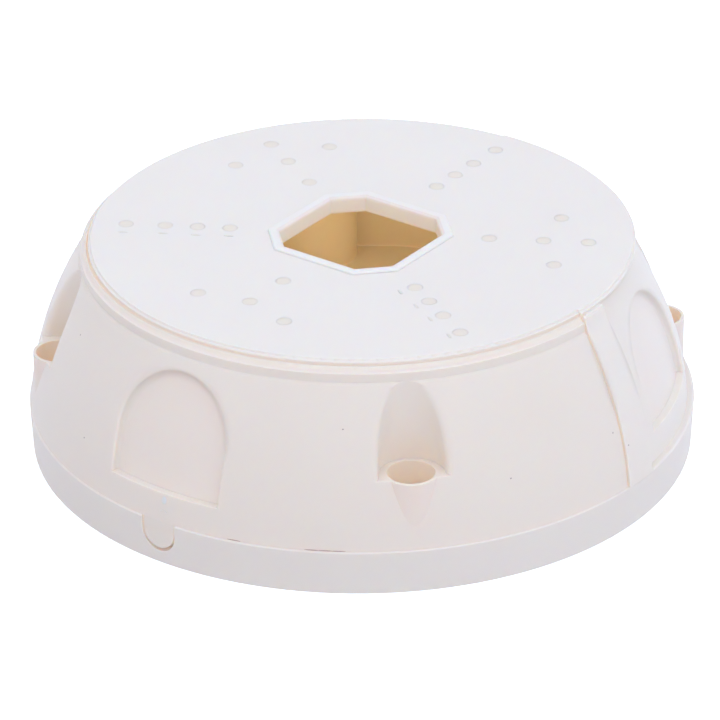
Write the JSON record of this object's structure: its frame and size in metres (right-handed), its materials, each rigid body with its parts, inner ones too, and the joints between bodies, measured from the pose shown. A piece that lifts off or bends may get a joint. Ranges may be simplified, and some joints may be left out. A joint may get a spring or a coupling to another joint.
{
  "type": "camera junction box",
  "caption": "Round camera junction box: base tray, wrap-round shell with knock-out arches, and a lid with an eight-sided cable opening, pilot holes and a side panel.",
  "frame": {"origin": "centre of the base's back face, on the wall's plane", "axes": "+Z out of the wall, up when the box lies on its back; +X to the side panel; -Y to the front well"},
  "size_m": [0.15, 0.15, 0.0496],
  "materials": {
    "base_plastic": "satin moulded",
    "shell_plastic": "satin moulded",
    "lid_plastic": "satin moulded",
    "screw_steel": "zinc plated"
  },
  "bodies": {
    "root": {"base": "base_plastic", "shell": "shell_plastic", "lid": "lid_plastic", "cover_screws": "screw_steel"}
  },
  "joints": []
}
